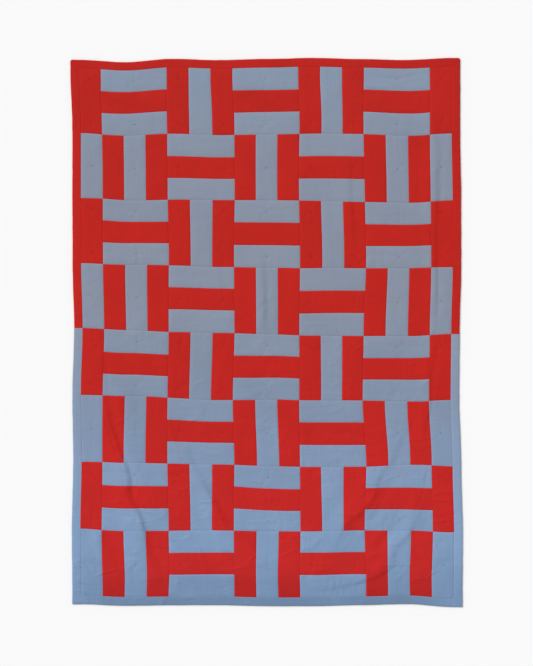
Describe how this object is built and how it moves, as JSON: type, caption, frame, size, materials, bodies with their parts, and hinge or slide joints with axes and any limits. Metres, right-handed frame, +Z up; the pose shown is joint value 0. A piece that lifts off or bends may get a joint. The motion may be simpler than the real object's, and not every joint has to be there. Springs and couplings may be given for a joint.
{
  "type": "quilt",
  "caption": "Tied patchwork quilt in red and blue cotton rails with a wide two-colour binding, lying flat and face up.",
  "frame": {"origin": "under the middle of the quilt's outline, at the surface that it lies on", "axes": "+X across the quilt to its right edge, +Y along it to its head, +Z up from the surface it lies on"},
  "size_m": [1.5876, 2.2242, 0.0146],
  "materials": {
    "body_cotton": "matt woven cotton patchwork over soft filling",
    "red_cotton": "matt woven cotton, brick red",
    "blue_cotton": "matt woven cotton, dusty blue"
  },
  "bodies": {
    "root": {"quilt_body": "body_cotton", "binding_head": "red_cotton", "binding_left_upper": "red_cotton", "binding_right_upper": "red_cotton", "binding_left_lower": "blue_cotton", "binding_right_lower": "blue_cotton", "binding_foot": "blue_cotton"}
  },
  "joints": []
}
